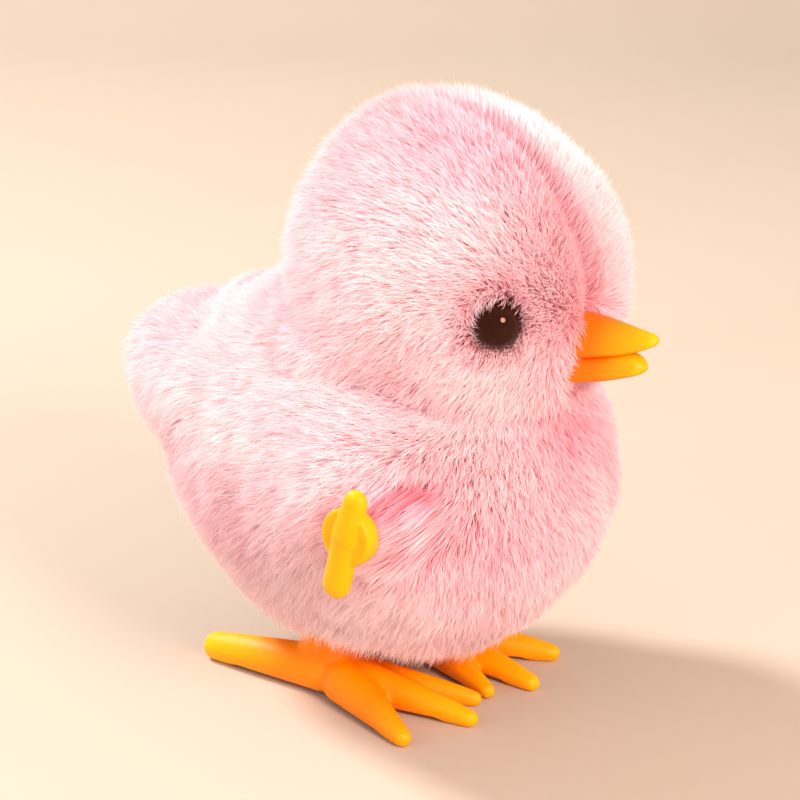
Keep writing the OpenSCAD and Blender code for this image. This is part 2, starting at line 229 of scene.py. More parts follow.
def fur_material():
    """Pile: the strand's own map gives root to tip along V and the tint of its place along U; the tint also
    carries painted shade.
    """
    m, t, b = material("plush_pile", (0.95, 0.7, 0.75), 0.62)
    uv = t.nodes.new("ShaderNodeUVMap")
    uv.uv_map = "OFBake"
    s = t.nodes.new("ShaderNodeSeparateXYZ")
    link(t, uv.outputs["UV"], s.inputs["Vector"])
    pale = ramp(t, s.outputs["Y"], [(0.0, (0.97, 0.68, 0.7)), (0.35, (1.0, 0.81, 0.83)),
                                    (0.7, (1.0, 0.89, 0.9)), (1.0, (1.0, 0.94, 0.945))])
    deep = ramp(t, s.outputs["Y"], [(0.0, (0.9, 0.3, 0.39)), (0.4, (0.96, 0.57, 0.66)),
                                    (0.75, (1.0, 0.74, 0.8)), (1.0, (1.0, 0.85, 0.885))])
    col = rgb_mix(t, s.outputs["X"], pale, deep)
    link(t, col, b.inputs["Base Color"])
    b.inputs["Sheen Weight"].default_value = 0.35
    b.inputs["Sheen Roughness"].default_value = 0.45
    b.inputs["Sheen Tint"].default_value = (1.0, 0.9, 0.92, 1)
    b.inputs["Specular IOR Level"].default_value = 0.3
    tr = t.nodes.new("ShaderNodeBsdfTranslucent")
    link(t, col, tr.inputs["Color"])
    mx = t.nodes.new("ShaderNodeMixShader")
    mx.inputs["Fac"].default_value = 0.5
    link(t, b.outputs["BSDF"], mx.inputs[1])
    link(t, tr.outputs["BSDF"], mx.inputs[2])
    link(t, mx.outputs["Shader"], t.nodes["Material Output"].inputs["Surface"])
    return m


def cloth_material():
    """Knitted backing of the plush: fine loops, rose, very matte."""
    m, t, b = material("plush_backing", (0.78, 0.33, 0.42), 0.95)
    v = t.nodes.new("ShaderNodeTexVoronoi")
    v.inputs["Scale"].default_value = 2200
    link(t, coords(t), v.inputs["Vector"])
    rose = ramp(t, noise(t, 120, 4), [(0.3, (0.98, 0.5, 0.54)), (0.7, (1, 0.6, 0.63))])
    link(t, rose, b.inputs["Base Color"])
    b.inputs["Sheen Weight"].default_value = 0.5
    bump(t, b, v.outputs["Distance"], 0.5, 0.0002)
    return m


MAT = {
    "fur": fur_material(),
    "cloth": cloth_material(),
    "beak": plastic("beak_plastic", (1.0, 0.17, 0.0), (1.0, 0.14, 0.0), 0.42, 0.3),
    "foot": plastic("foot_plastic", (1.0, 0.27, 0.0), (0.98, 0.22, 0.0), 0.44, 0.3),
    "key": plastic("key_plastic", (1.0, 0.41, 0.0), (1.0, 0.36, 0.0), 0.4, 0.25),
    "base": plastic("base_plastic", (0.93, 0.4, 0.03), (0.86, 0.32, 0.02), 0.45, 0.1),
    "case": plastic("case_plastic", (0.86, 0.87, 0.88), (0.8, 0.81, 0.83), 0.42, 0.1),
    "gear": plastic("gear_plastic", (0.9, 0.88, 0.8), (0.84, 0.81, 0.72), 0.4, 0.15),
    "crank": plastic("crank_plastic", (0.05, 0.05, 0.055), (0.035, 0.035, 0.04), 0.4, 0.0),
    "washer": plastic("washer_plastic", (0.9, 0.9, 0.88), (0.83, 0.83, 0.8), 0.45, 0.1),
    "steel": metal("pin_steel", (0.72, 0.73, 0.75), 0.28),
    "screw": metal("screw_steel", (0.74, 0.74, 0.72), 0.34),
    "ratchet": metal("ratchet_steel", (0.66, 0.66, 0.68), 0.36),
    "spring": metal("spring_steel", (0.24, 0.3, 0.42), 0.3, (2400, 60, 60)),
}


# ---------------------------------------------------------------- mesh helpers
def new_object(name, mesh, mat, body, node=None, smooth_faces=True):
    o = bpy.data.objects.new(name, mesh)
    scene.collection.objects.link(o)
    mesh.materials.clear()
    mesh.materials.append(mat)
    if smooth_faces:
        mesh.polygons.foreach_set("use_smooth", np.ones(len(mesh.polygons), bool))
    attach(o, body)
    if node:
        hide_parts(*([node] if isinstance(node, str) else node))
    return o


def from_arrays(name, verts, faces):
    """verts in mm; faces is a list of index arrays of shape (n, 3) or (n, 4)."""
    me = bpy.data.meshes.new(name)
    me.vertices.add(len(verts))
    me.vertices.foreach_set("co", (np.asarray(verts) * MM).astype(np.float32).ravel())
    loops = np.concatenate([f.ravel() for f in faces])
    sizes = np.concatenate([np.full(len(f), f.shape[1]) for f in faces])
    me.loops.add(len(loops))
    me.loops.foreach_set("vertex_index", loops.astype(np.int32))
    me.polygons.add(len(sizes))
    starts = np.concatenate([[0], np.cumsum(sizes)[:-1]])
    me.polygons.foreach_set("loop_start", starts.astype(np.int32))
    me.update(calc_edges=True)
    return me


def modified(name, mesh, mods):
    """The mesh with modifiers applied to it."""
    o = bpy.data.objects.new(name + "_work", mesh)
    scene.collection.objects.link(o)
    for kind, settings in mods:
        m = o.modifiers.new(kind, kind)
        for k, v in settings.items():
            setattr(m, k, v)
    dg = bpy.context.evaluated_depsgraph_get()
    me = bpy.data.meshes.new_from_object(o.evaluated_get(dg))
    bpy.data.objects.remove(o)
    return me


def capsule(bm, a, ra, b, rb, n=3):
    """Convex hull of two balls, in mm."""
    part = bmesh.new()
    for c, r in ((a, ra), (b, rb)):
        bmesh.ops.create_icosphere(part, subdivisions=n, radius=r * MM,
                                   matrix=Matrix.Translation(Vector(c) * MM))
    hull = bmesh.ops.convex_hull(part, input=part.verts)
    inner = {g for g in hull["geom_interior"] if isinstance(g, bmesh.types.BMVert)}
    bmesh.ops.delete(part, geom=list(inner), context="VERTS")
    me = bpy.data.meshes.new("part")
    part.to_mesh(me)
    part.free()
    bm.from_mesh(me)
    bpy.data.meshes.remove(me)


def around(x, y, r, n):
    """n points on a circle of radius r in the plane of x and y."""
    return [(x * math.cos(k * math.tau / n) + y * math.sin(k * math.tau / n)) * r for k in range(n)]


def rod_mesh(bm, a, b, r0, r1=None, n=48, bevel=0.0):
    """A round rod between two points, in mm, with rounded rims."""
    a, b = Vector(a), Vector(b)
    r1 = r0 if r1 is None else r1
    z = (b - a).normalized()
    x = z.orthogonal().normalized()
    y = z.cross(x)
    L = (b - a).length
    rings = [(0, r0), (L, r1)]
    if bevel:
        rings = [(0, r0 - bevel), (bevel * 0.3, r0 - bevel * 0.3), (bevel, r0),
                 (L - bevel, r1), (L - bevel * 0.3, r1 - bevel * 0.3), (L, r1 - bevel)]
    vs = [[bm.verts.new((a + z * t + c) * MM) for c in around(x, y, r, n)] for t, r in rings]
    for p, q in zip(vs, vs[1:]):
        for k in range(n):
            bm.faces.new((p[k], p[(k + 1) % n], q[(k + 1) % n], q[k]))
    bm.faces.new(list(reversed(vs[0])))
    bm.faces.new(vs[-1])


def to_mesh(bm, name):
    me = bpy.data.meshes.new(name)
    bm.to_mesh(me)
    bm.free()
    return me


def points_of(me):
    co = np.zeros(len(me.vertices) * 3, np.float32)
    me.vertices.foreach_get("co", co)
    return co.reshape(-1, 3).astype(float) / MM


def put_points(me, p):
    me.vertices.foreach_set("co", (p * MM).astype(np.float32).ravel())
    me.update()


# ---------------------------------------------------------------- skin halves
AZ_N, EL_N = 72, 84


def direction(az, el):
    """az 0 is the beak's side, 90 the left flank, 180 the tail."""
    az, el = np.broadcast_arrays(az, el)
    return np.stack([np.cos(el) * np.sin(az), -np.cos(el) * np.cos(az), np.sin(el)], -1)


def hem_elevation(az, inset):
    """The elevation at which the skin meets the rim of the base opening."""
    el = np.radians(np.linspace(-90, -10, 500))
    p = skin(direction(az[:, None], el[None]), inset)
    out = (p[..., 0] / HEM_R[0]) ** 2 + ((p[..., 1] - HEM_AT[1]) / HEM_R[1]) ** 2 > 1
    return el[np.argmax(out, axis=1)]


def skin_half(side):
    """The sewn cloth of one half, from the rim of the base up to the crown."""
    az = np.linspace(0, np.pi, AZ_N + 1)
    low = hem_elevation(az, BACKING)
    t = np.linspace(0, 1, EL_N + 1)
    el = low[None] + (np.pi / 2 - 1e-4 - low[None]) * t[:, None]
    p = skin(direction(np.broadcast_to(az, el.shape), el), BACKING - 0.3)
    p[:, 0, 0] = p[:, -1, 0] = 0
    p[-1] = p[-1, :1]
    p[..., 0] *= side
    verts = np.concatenate([p[:-1].reshape(-1, 3), p[-1, :1]])
    w = AZ_N + 1
    i, j = np.meshgrid(np.arange(EL_N - 1), np.arange(AZ_N), indexing="ij")
    a = (i * w + j).ravel()
    quads = np.stack([a, a + 1, a + w + 1, a + w], 1)
    k = (EL_N - 1) * w + np.arange(AZ_N)
    tris = np.stack([k, k + 1, np.full(AZ_N, EL_N * w)], 1)
    if side < 0:
        quads, tris = quads[:, ::-1], tris[:, ::-1]
    me = from_arrays("skin", verts, [quads, tris])
    return modified("skin", me, [("SOLIDIFY", {"thickness": 0.0007, "offset": -1.0})])


for side, name in ((-1, "right"), (1, "left")):
    o = new_object(f"plush_cloth_{name}", skin_half(side), MAT["cloth"], "chick", f"plush_{name}")

# ---------------------------------------------------------------- pile
STRANDS = 340000
STRAND_WIDTH = 0.108
STEPS = np.array([0.0, 0.36, 0.7, 1.0])       # the four points of a strand, root to tip
TAPER = np.array([0.85, 1.0, 0.72, 0.0])
PIECE_LIMIT = 38500                           # strands in one piece
REGIONS = ("head_front", "head_back", "breast", "rump")
BEAK_SIZE = (4.3, 4.6)                        # half width and half height where it leaves the pile
EYE_BARE, KEY_BARE, SEAM_BARE = 3.0, 1.9, 0.22      # no strands within this distance
STEM_CLEAR = 2.0                              # strands pass the stem of the key at this radius
DISC_R, DISC_BACK, DISC_SIDE = 3.7, 29.1, 30.0      # how far out the collar grows behind and beside the disc
FAR = 99


def bell(x, width):
    return np.exp(-(x / width) ** 2)


def near_point(p, centre, spread):
    return np.exp(-((p - centre) ** 2).sum(1) / spread)


def scatter(n):
    """Directions of n strand roots over the skin, closer together on the face."""
    az = np.linspace(-np.pi, np.pi, 241)
    low = hem_elevation(az, BACKING)
    t = np.linspace(0, 1, 161)
    el = low[None] + (np.pi / 2 - 1e-3 - low[None]) * t[:, None]
    p = skin(direction(np.broadcast_to(az, el.shape), el), 1.5)
    u, v = p[:-1, 1:] - p[:-1, :-1], p[1:, :-1] - p[:-1, :-1]
    area = np.linalg.norm(np.cross(u, v), axis=-1)
    on_face = smooth(-6, -20, p[:-1, :-1, 1]) * smooth(38, 48, p[:-1, :-1, 2])
    dense = area * (1 + 0.55 * on_face)
    pick = rng.choice(area.size, n, p=(dense / dense.sum()).ravel())
    i, j = np.unravel_index(pick, area.shape)
    a, b = rng.random(n), rng.random(n)
    A = az[j] + (az[j + 1] - az[j]) * b
    lo = el[i, j] * (1 - b) + el[i, j + 1] * b
    hi = el[i + 1, j] * (1 - b) + el[i + 1, j + 1] * b
    return direction(A, lo + (hi - lo) * a), area.sum()


d, area = scatter(STRANDS)
root = skin(d, BACKING - 0.2)
normal = skin_normal(d, 2.0)
mirror = np.sign(root[:, :1]) * np.array([[1, 0, 0]]) + np.array([[0, 1, 1]])   # to the left half and back
eye_axis = unit(np.array([0.70, -0.71, -0.02]))
from_eye = root * mirror - EYE * np.array([-1, 1, 1])
along = from_eye @ eye_axis
eye_rad = from_eye - along[:, None] * eye_axis
eye_dist = np.where(along > -6, np.linalg.norm(eye_rad, axis=1), FAR)
beak_off = root - BEAK
beak_dist = np.hypot(beak_off[:, 0] / BEAK_SIZE[0], beak_off[:, 2] / BEAK_SIZE[1])     # 1 at its side
beak_dist = np.where(root[:, 1] < -12, beak_dist, FAR)
key_off = root[:, 1:] - KEY_AXIS
key_dist = np.where(root[:, 0] < 0, np.linalg.norm(key_off, axis=1), FAR)
phi = np.abs(np.degrees(np.arcsin(np.clip(d[:, 0], -1, 1))))
theta = np.degrees(np.arctan2(d[:, 2], -d[:, 1]))
crown = smooth(-2, 10, theta) * (1 - smooth(66, 86, theta))      # where the seam shows
on_seam = (np.abs(root[:, 0]) < SEAM_BARE) & (crown > 0.3)
keep = (eye_dist > EYE_BARE) & (beak_dist > 0.8) & (key_dist > KEY_BARE) & ~on_seam
root, normal, mirror, eye_rad, eye_dist, beak_off, beak_dist = (
    x[keep] for x in (root, normal, mirror, eye_rad, eye_dist, beak_off, beak_dist))
key_off, key_dist, phi, theta, crown = (x[keep] for x in (key_off, key_dist, phi, theta, crown))
N = len(root)
y, z = root[:, 1], root[:, 2]
nz = normal[:, 2]
right_half = root[:, 0] < 0

# nap: away from the beak on the head, back and down on the flank, down on the breast
over_neck = z - (42 + 0.33 * (y + 28))        # height over the crease between head and body
head = smooth(-5, 7, over_neck)
front = smooth(-6, -24, y)
top = smooth(0.15, 0.8, nz)
under = smooth(-0.35, -0.8, nz)
head_flow = unit(root - BEAK) + np.array([0, 0.15, -0.45])
body_flow = np.stack([0 * y, 0.9 - 0.75 * front, -(0.75 + 0.25 * front) * (1 - top) - 0.05], 1)
flow = head_flow * head[:, None] + body_flow * (1 - head)[:, None]
flow += under[:, None] * (np.array([0, 0.0, -1.2]) + 0.7 * unit(root - np.array([0, 6, 30])))

# the pile of the right half is pressed down along the seam
near_seam = bell(phi, 9) * crown
seam = bell(phi, 2.8) * crown
flow[:, 0] += np.where(right_half, -1.8, 0.1) * bell(phi, 4) * crown

# round the eye the pile leans away, but some strands lie over the rim of the bead
ring = np.clip(1 - (eye_dist - EYE_BARE) / 2.2, 0, 1)
over_rim = (rng.random(N) < 0.42) & (ring > 0.3)
flow += (np.where(over_rim, -2.6, 1.0) * ring)[:, None] * unit(eye_rad) * mirror

# the pile stands up as a collar along the stem of the key, with a gap over it; the strands in the gap are
# painted deep as painted shade
gap = np.where(right_half, near_point(key_off, [-2.8, 4.6], 3.5), 0)
# painted shade: the strands in the pit beside the stem take the deep tint and a short ramp
pit_shade = sum(near_point(key_off, c, 1.6) for c in ([-0.6, 3.2], [-2.3, 2.5])).clip(0, 1)
pit_shade = np.where(right_half, pit_shade, 0)
hole = np.clip(1 - (key_dist - KEY_BARE) / 4.2, 0, 1)
hole = hole * (1 - 0.85 * gap) * (1 - 0.6 * smooth(-0.5, 2.5, key_off[:, 0]))
flow[:, 1:] -= 1.4 * hole[:, None] * unit(key_off)
near_beak = np.clip(1 - (beak_dist - 0.8) / 0.55, 0, 1)
flow[:, [0, 2]] -= 2.6 * near_beak[:, None] * unit(beak_off[:, [0, 2]])
collar = np.minimum(1, 2.2 * hole)[:, None]
normal = unit(normal * (1 - collar) + np.array([-1.0, 0, 0]) * collar)
flow = unit(flow - (flow * normal).sum(1, keepdims=True) * normal)
turn = (np.radians(20) * lattice(root / 7, 5) + np.radians(16) * lattice(root / 2.6, 6)
        + np.radians(17) * rng.standard_normal(N))
flow = flow * np.cos(turn)[:, None] + np.cross(normal, flow) * np.sin(turn)[:, None]

# how long each strand is along the normal (rise) and along the nap (combed), in mm
face = near_point(root, BEAK, 13 ** 2)
stem = np.minimum(1, 2 * hole)
rise = 4.5 + 0.55 * lattice(root / 4.5, 8) + 0.35 * rng.standard_normal(N)
rise *= rng.choice([1, 0.9, 0.74], N, p=[0.5, 0.3, 0.2])
combed = 3.3 - 0.8 * head + 1.0 * lattice(root / 8, 9)
combed *= 1 - 0.5 * near_seam * smooth(20, 45, theta)
combed *= (1 - 0.35 * front * (1 - head)) * (1 - 0.3 * top * head)
combed *= rng.uniform(0.75, 1.25, N)
rise *= (1 - 0.22 * ring) * (1 + 0.85 * stem) * (1 - 0.5 * gap)
rise *= 1 - np.where(right_half, 0.58, 0.0) * bell(phi, 3.6) * crown
rise += 0.5 * smooth(0.75, 1.0, nz) * head
rise *= 1 - 0.15 * face
to_disc = np.where(key_dist < DISC_R, DISC_BACK, DISC_SIDE) + root[:, 0]
reaching = np.minimum(np.maximum(rise, to_disc * rng.uniform(0.86, 1, N)), to_disc)
rise = np.where(hole > 0.3, reaching, rise)
combed *= np.where(over_rim, 0.62, 1 - 0.45 * ring) * (1 - 0.62 * near_beak) * (1 - 0.6 * stem)

# around the base the pile hangs past the rim of the plate
rim = np.sqrt((root[:, 0] / HEM_R[0]) ** 2 + ((root[:, 1] - HEM_AT[1]) / HEM_R[1]) ** 2)
hang = np.where(z < 24, np.clip(1 - (rim - 1) / 0.32, 0, 1), 0)
drop = np.stack([0 * y, 0 * y, -1.9 * hang], 1)

# tufts: strands gather towards the tip of a leader nearby
lead = rng.choice(N, N // 26, replace=False)
tree = kdtree.KDTree(len(lead))
for k, i in enumerate(lead):
    tree.insert(root[i], k)
tree.balance()
owner = lead[np.fromiter((tree.find(p)[1] for p in root), int, N)]
tip = root + normal * rise[:, None] + flow * combed[:, None] + drop
gather = 0.19 - 0.06 * head - 0.1 * head * front + (0.12 - 0.07 * head * front) * lattice(root / 5, 12)
pull = (tip[owner] - tip) * (gather * (1 - 0.8 * seam))[:, None]

parted = seam > 0.15
line = []
for s in STEPS:
    p = root + normal * (rise * (1 - (1 - s) ** 1.7))[:, None] + flow * (combed * s ** 1.7)[:, None]
    p = p + pull * s * s + drop * s ** 1.4
    p = p + 0.12 * s * rng.standard_normal((N, 3))
    aside = np.sign(root[:, 0]) * np.maximum(np.abs(p[:, 0]), np.abs(root[:, 0]) + SEAM_BARE * s)
    p[parted, 0] = aside[parted]
    off = p[:, 1:] - KEY_AXIS
    far = np.linalg.norm(off, axis=1)
    inside = (hole > 0) & (far < STEM_CLEAR)
    p[inside, 1:] += off[inside] * (STEM_CLEAR / far[inside] - 1)[:, None]
    line.append(p)
line = np.stack(line, 1)                      # N strands, 4 points, xyz
chord = unit(line[:, 2] - line[:, 0])
base_side = unit(np.cross(chord, normal))
base_up = unit(np.cross(base_side, chord))
twist = np.radians(38) * rng.standard_normal(N)
side_way = base_side * np.cos(twist)[:, None] + base_up * np.sin(twist)[:, None]
wide = (TAPER * STRAND_WIDTH)[None] * rng.uniform(0.7, 1.25, N)[:, None]
half = side_way[:, None] * wide[:, :3, None] * 0.5
co = np.empty((N, 7, 3))
co[:, 0:6:2], co[:, 1:6:2], co[:, 6] = line[:, :3] - half, line[:, :3] + half, line[:, 3]

# tint: deeper by the seam, on the crown beside it, round the eye, in the neck crease and in soft patches; in
# the seam's crease, the neck crease, the pit by the key and on the breast it is painted shade
patch = np.exp(-((theta - 62) / 22) ** 2 - ((phi - 10) / 12) ** 2) * right_half
breast = front * (1 - head)
tint = 0.46 - 0.12 * head + 0.42 * lattice(root / 10, 21) + 0.18 * lattice(root / 3.2, 22)
# on the breast the deeper tint is painted shade and warm bounce light
tint += 0.8 * patch + 0.14 * face + 0.16 * breast + 0.08 * (1 - head)
tint += 0.3 * bell(eye_dist - 3, 2.5)
# painted shade: deeper along the seam's crease, most on the right half, and deep in the pit beside the key
tint += np.where(right_half, 0.3, 0.0) * near_seam + np.where(right_half, 0.5, 0.9) * seam + 1.2 * pit_shade
# painted shade in the neck crease, just above where the head meets the body
tint += 0.3 * bell(over_neck - 4, 5) * smooth(-15, 10, y)
tint = np.clip(tint + 0.13 * rng.standard_normal(N), 0.02, 0.98)

region = np.where(over_neck > 0, np.where(y < -8, 0, 1), np.where(y < 8, 2, 3))
print("fur: area %.0f mm2, strands %d" % (area, N))


def pile_mesh(sel):
    """Flat tapering blades: two quads and a tip, with root to tip along V and the tint along U."""
    n = len(sel)
    base = (np.arange(n) * 7)[:, None]
    quads = (base[:, :, None] + np.array([[0, 1, 3, 2], [2, 3, 5, 4]])[None]).reshape(-1, 4)
    tris = (base + np.array([[4, 5, 6]])).reshape(-1, 3)
    me = from_arrays("fur", co[sel].reshape(-1, 3), [quads, tris])
    uv = me.uv_layers.new(name="OFBake")
    # V runs short in the pit beside the key, towards the deep root colour: painted shade
    V = STEPS[[0, 0, 1, 1, 2, 2, 3]] * (1 - 0.8 * pit_shade[sel])[:, None] * 0.98 + 0.01
    # on the breast, pulling V towards the middle dims the pale tips: painted shade as well
    V += 0.6 * face[sel, None] * (0.42 - V) + (0.4 * patch + 0.36 * breast)[sel, None] * (0.5 - V)
    U = tint[sel][:, None] * 0.96 + 0.02 + np.array([-1, 1, -1, 1, -1, 1, 0]) * 0.002
    vert_uv = np.stack([U, V], -1).reshape(-1, 2)
    loops = np.concatenate([quads.ravel(), tris.ravel()])
    uv.data.foreach_set("uv", vert_uv[loops].astype(np.float32).ravel())
    me.polygons.foreach_set("use_smooth", np.ones(len(me.polygons), bool))
    return me


for half_name, in_half in (("right", root[:, 0] <= 0), ("left", root[:, 0] > 0)):
    for k, region_name in enumerate(REGIONS):
        ids = np.nonzero(in_half & (region == k))[0]
        for part, sel in enumerate(np.array_split(ids, max(1, math.ceil(len(ids) / PIECE_LIMIT)))):
            name = f"pile_{region_name}_{half_name}" + (f"_{part + 1}" if part else "")
            o = new_object(name, pile_mesh(sel), MAT["fur"], "chick", None, False)
            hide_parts(f"plush_{half_name}")

# ---------------------------------------------------------------- eyes
EYE_NORMAL = {-1: np.array([-0.7009, -0.7133, 0.0]), 1: np.array([0.7009, -0.7133, 0.0])}


def eye_mesh(side):
    """Domed bead with a rounded rim, a flat back and its shank, turned about its own axis."""
    prof = [(0.0, -6.4), (0.8, -6.4), (0.95, -6.2), (0.95, -1.35), (2.7, -1.3), (2.98, -1.15)]
    prof += [(EYE_R * math.cos(a), EYE_R * math.sin(a) * 0.9) for a in np.radians(np.linspace(-18, 88, 26))]
    prof += [(0.0, EYE_R * 0.9)]
    n = 96
    axis = Vector(EYE_NORMAL[side])
    x = axis.orthogonal().normalized()
    y = axis.cross(x)
    c = Vector(EYE * np.array([-side, 1, 1]))
    bm = bmesh.new()
    rings = []
    for r, h in prof:
        if r == 0:
            rings.append([bm.verts.new((c + axis * h) * MM)])
        else:
            rings.append([bm.verts.new((c + axis * h + e) * MM) for e in around(x, y, r, n)])
    for a, b in zip(rings, rings[1:]):
        for k in range(n):
            j = (k + 1) % n
            if len(a) == 1:
                bm.faces.new((a[0], b[j], b[k]))
            elif len(b) == 1:
                bm.faces.new((a[k], a[j], b[0]))
            else:
                bm.faces.new((a[k], a[j], b[j], b[k]))
    bmesh.ops.recalc_face_normals(bm, faces=bm.faces)
    return to_mesh(bm, "eye")


def eye_material():
    """Near-black brown glass."""
    m, t, b = material("eye_bead", (0.012, 0.004, 0.003), 0.06)
    brown = ramp(t, noise(t, 380, 3), [(0.3, (0.012, 0.002, 0.001)), (0.7, (0.024, 0.005, 0.003))])
    link(t, brown, b.inputs["Base Color"])
    link(t, ramp(t, noise(t, 900, 4), [(0.35, (0.035,) * 3), (0.8, (0.06,) * 3)]), b.inputs["Roughness"])
    b.inputs["IOR"].default_value = 1.4
    b.inputs["Specular Tint"].default_value = (0.66, 0.36, 0.27, 1)      # painted reflection: every reflection in the bead is tinted brown, like a warm room
    return m


MAT["eye"] = eye_material()
for side, name in ((-1, "eye_right"), (1, "eye_left")):
    new_object(name + "_bead", eye_mesh(side), MAT["eye"], "chick", name)

# ---------------------------------------------------------------- beak


def spline(xs, ys, x):
    """Smooth curve through a few points."""
    xs, ys = np.array(xs, float), np.array(ys, float)
    m = np.gradient(ys, xs)
    k = np.clip(np.searchsorted(xs, x) - 1, 0, len(xs) - 2)
    h = xs[k + 1] - xs[k]
    t = (x - xs[k]) / h
    return ((1 + 2 * t) * (1 - t) ** 2 * ys[k] + t * (1 - t) ** 2 * h * m[k]
            + t * t * (3 - 2 * t) * ys[k + 1] + t * t * (t - 1) * h * m[k + 1])


def beak_half(name, y_tip, top, low, wide, p_top, p_low, round_, n=60, rings=44):
    """Loft along the beak. top, low and wide are heights and half widths at distances
    from the root; p_* are how full the section is above and below its corners."""
    y0 = -24.0      # where it starts, inside the pile
    L = y0 - y_tip
    s = 1 - (1 - np.linspace(0, 1, rings)) ** 1.6
    verts, faces = [], []
    for k, u in enumerate(s):
        dist = u * L
        t, l, w = (float(spline(*c, dist)) for c in (top, low, wide))
        end = math.sqrt(max(0.0, 1 - max(0.0, (dist - (L - round_)) / round_) ** 2))
        mid = t * 0.5 + l * 0.5
        t, l, w = mid + (t - mid) * end, mid + (l - mid) * end, w * end
        corner = l + 0.18 * (t - l) if p_top < p_low + 1 else l + 0.82 * (t - l)
        for j in range(n):
            a = j * math.tau / n
            c, q = math.cos(a), math.sin(a)
            x = w * math.copysign(abs(c) ** (2 / (p_top if q > 0 else p_low)), c)
            hgt = (t - corner) if q > 0 else (corner - l)
            z = corner + hgt * math.copysign(abs(q) ** (2 / (p_top if q > 0 else p_low)), q)
            verts.append((x, y0 - dist, z))
    i, j = np.meshgrid(np.arange(rings - 2), np.arange(n), indexing="ij")
    a, b = (i * n + j).ravel(), (i * n + (j + 1) % n).ravel()
    quads = np.stack([a, b, b + n, a + n], 1)
    verts = verts[:(rings - 1) * n] + [verts[0], (0, y_tip, verts[-1][2])]
    root, tipv = (rings - 1) * n, (rings - 1) * n + 1
    verts[root] = (0, y0, float(np.mean([v[2] for v in verts[:n]])))
    k = np.arange(n)
    last = (rings - 2) * n
    caps = np.concatenate([np.stack([np.full(n, root), (k + 1) % n, k], 1),
                           np.stack([last + k, last + (k + 1) % n, np.full(n, tipv)], 1)])
    me = from_arrays(name, np.array(verts), [quads, caps])
    bm = bmesh.new()
    bm.from_mesh(me)
    bmesh.ops.recalc_face_normals(bm, faces=bm.faces)
    bpy.data.meshes.remove(me)
    return to_mesh(bm, name)


upper = beak_half("beak_upper", -36.9,
                  ([0, 3, 6, 9, 11.5, 12.9], [57.3, 57.2, 56.95, 56.55, 56.2, 56.0]),
                  ([0, 3, 6, 9, 11.5, 12.9], [51.3, 51.8, 52.4, 53.1, 54.1, 54.8]),
                  ([0, 2.5, 6, 9, 11.5, 12.9], [4.3, 4.1, 3.2, 2.2, 1.35, 0.95]), 1.8, 2.6, round_=1.0)
lower = beak_half("beak_lower", -35.3,
                  ([0, 3, 6, 8.6, 10, 11.3], [52.4, 52.6, 52.9, 53.3, 52.9, 52.2]),
                  ([0, 3, 6, 8.6, 10, 11.3], [48.3, 48.6, 49.15, 49.9, 50.4, 50.9]),
                  ([0, 2.5, 6, 8.6, 10, 11.3], [3.9, 3.7, 2.85, 2.1, 1.6, 1.1]), 2.6, 2.0, round_=1.1)


def painted_glow_tips(m, y0, y1, color):
    """A moulding that is thinner and painted yellower from y0 to y1 (metres): painted glow of light passing
    through the thin plastic.
    """
    t = m.node_tree
    b = t.nodes["Principled BSDF"]
    body = b.inputs["Base Color"].links[0].from_socket
    s = t.nodes.new("ShaderNodeSeparateXYZ")
    link(t, coords(t), s.inputs["Vector"])
    r = t.nodes.new("ShaderNodeMapRange")
    r.inputs["From Min"].default_value = y0
    r.inputs["From Max"].default_value = y1
    link(t, s.outputs["Y"], r.inputs["Value"])
    link(t, rgb_mix(t, r.outputs["Result"], body, color), b.inputs["Base Color"])


# painted glow: the thin ends of the beak and the toes are coloured yellower, as if lit through
painted_glow_tips(MAT["beak"], -0.0292, -0.0362, (1.0, 0.4, 0.0))
painted_glow_tips(MAT["foot"], 0.014, 0.030, (1.0, 0.5, 0.0))
painted_glow_tips(MAT["foot"], -0.004, -0.018, (1.0, 0.42, 0.0))
new_object("beak_upper", upper, MAT["beak"], "chick", "beak")
new_object("beak_lower", lower, MAT["beak"], "chick", "beak")
bm = bmesh.new()
rod_mesh(bm, (0, -24.3, 52.6), (0, -18.5, 52.6), 1.8, bevel=0.2)
new_object("beak_shank", to_mesh(bm, "beak_shank"), MAT["beak"], "chick", "beak")

# ---------------------------------------------------------------- winding key
KY, KZ = KEY_AXIS
LEAN = math.radians(15)
KNOB_X, KNOB_FLAT = -30.6, 0.82      # middle of the ears, and how flat they are
DISC_X = -31.3                       # outer face of the disc
GATE_RING, GATE_PIT = (0.16, 0.42), (0.22, 0.2)      # height and radius of the mark of the mould's gate


def in_plane(x, u, v):
    """A point on the knob: u towards the beak, v up, before the lean."""
    c, s = math.cos(LEAN), math.sin(LEAN)
    return (x, KY - u * c - v * s, KZ + v * c - u * s)


bm = bmesh.new()
for v0, r0, v1, r1 in ((-6.75, 1.88, 0.0, 1.9), (0.0, 2.1, 4.9, 1.58)):
    capsule(bm, in_plane(KNOB_X, 0, v0), r0, in_plane(KNOB_X, 0, v1), r1)
for v in bm.verts:
    v.co.x = (KNOB_X + KNOB_FLAT * (v.co.x / MM - KNOB_X)) * MM
rod_mesh(bm, (DISC_X, KY, KZ), (-28.9, KY, KZ), DISC_R, n=72, bevel=0.45)
rod_mesh(bm, (-30.2, KY, KZ), (-7.7, KY, KZ), 1.75, n=48, bevel=0.3)
rod_mesh(bm, (-29.4, KY, KZ), (-28.0, KY, KZ), 2.9, 1.8, n=48)
key = modified("key", to_mesh(bm, "key"), [
    ("REMESH", {"mode": "VOXEL", "voxel_size": 0.00015, "adaptivity": 0.0}),
    ("SMOOTH", {"factor": 0.5, "iterations": 7})])
p = points_of(key)
gate = np.array(in_plane(DISC_X, 2.55, 0.9))
r = np.linalg.norm(p[:, 1:] - gate[1:], axis=1)
outer = p[:, 0] < KNOB_X
